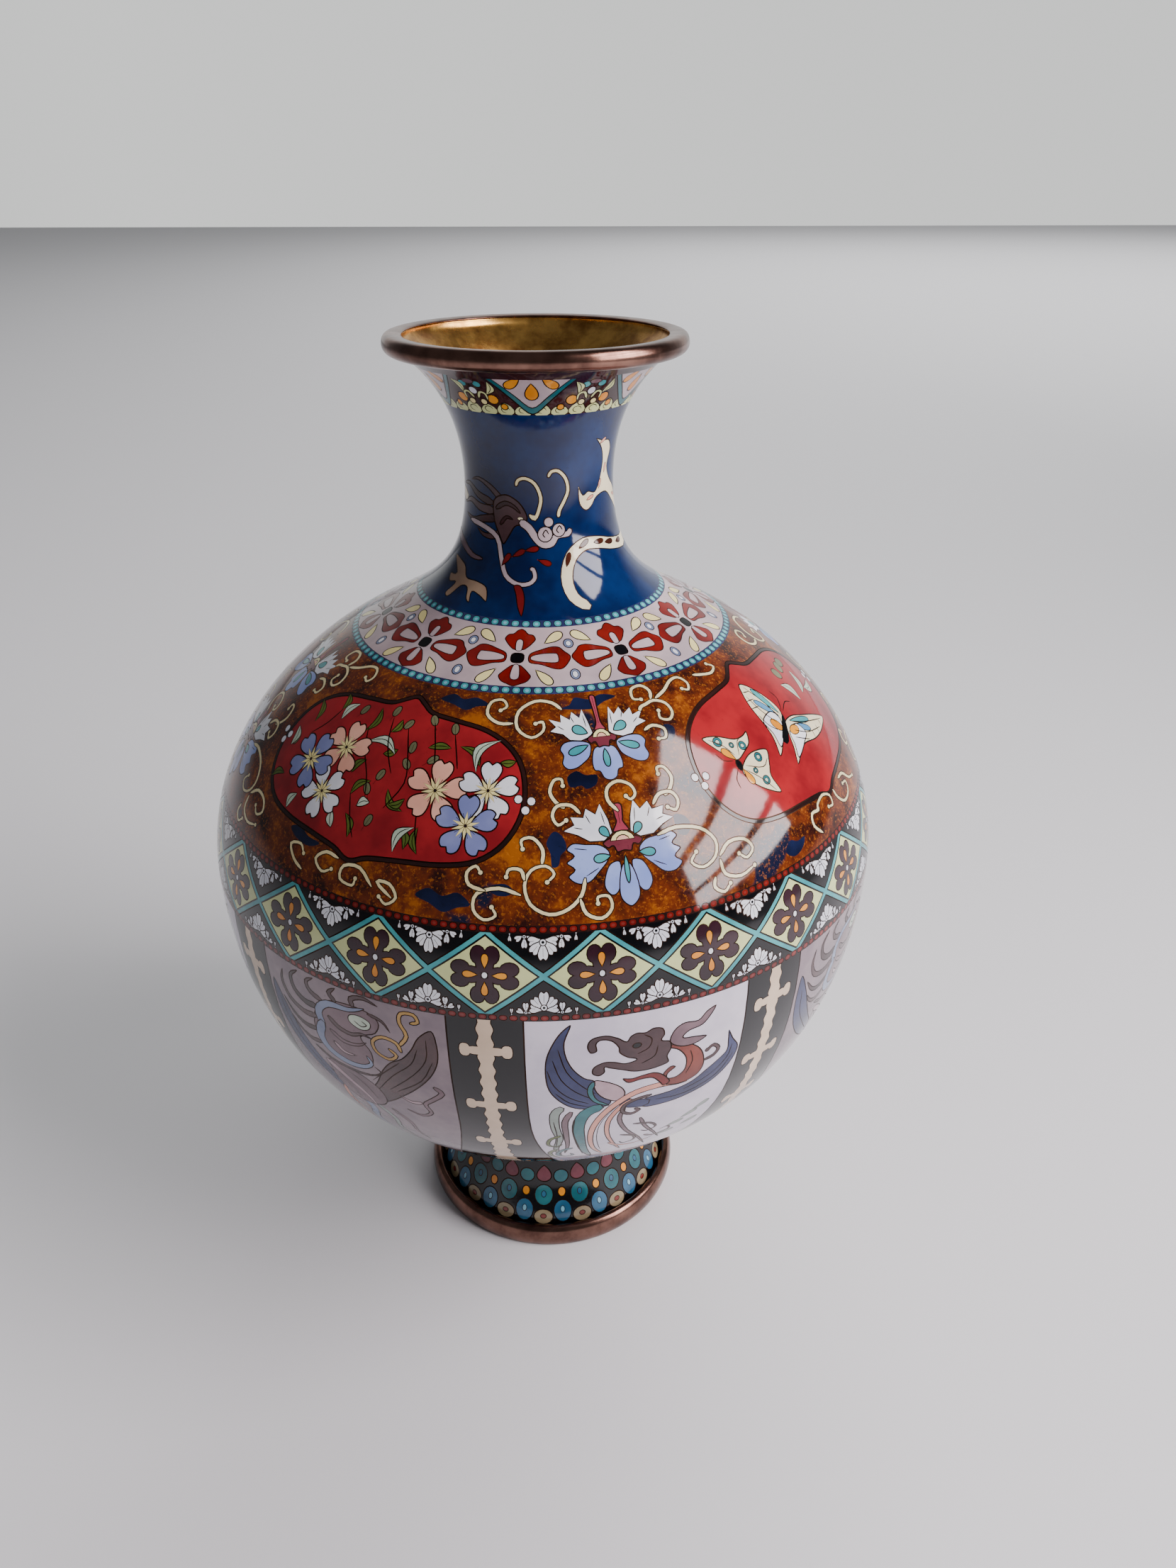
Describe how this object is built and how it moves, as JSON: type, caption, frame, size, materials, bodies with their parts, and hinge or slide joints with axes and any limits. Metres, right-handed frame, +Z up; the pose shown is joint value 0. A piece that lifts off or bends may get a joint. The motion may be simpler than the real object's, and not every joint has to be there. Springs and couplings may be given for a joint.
{
  "type": "cloisonne vase",
  "caption": "Round-bellied enamelled copper vase on a flared foot, with a narrow waisted neck, a spreading mouth and copper rims at mouth and foot.",
  "frame": {"origin": "centre of the base, on the vase's axis, at the surface it stands on", "axes": "+Z up along the vase's axis; -Y is the side that the picture shows"},
  "size_m": [0.1686, 0.1686, 0.245],
  "materials": {
    "enamel": "polished enamel in copper wires: deep blue, lilac, red, amber and black grounds",
    "rim_copper": "warm brown copper, softly polished",
    "gilt_lining": "dull gilt inside of the neck",
    "wire": "fine darkened copper wire, ground flush with the enamel"
  },
  "bodies": {
    "root": {"vase_body": "enamel", "mouth_rim": "rim_copper", "foot_rim": "rim_copper"}
  },
  "joints": []
}
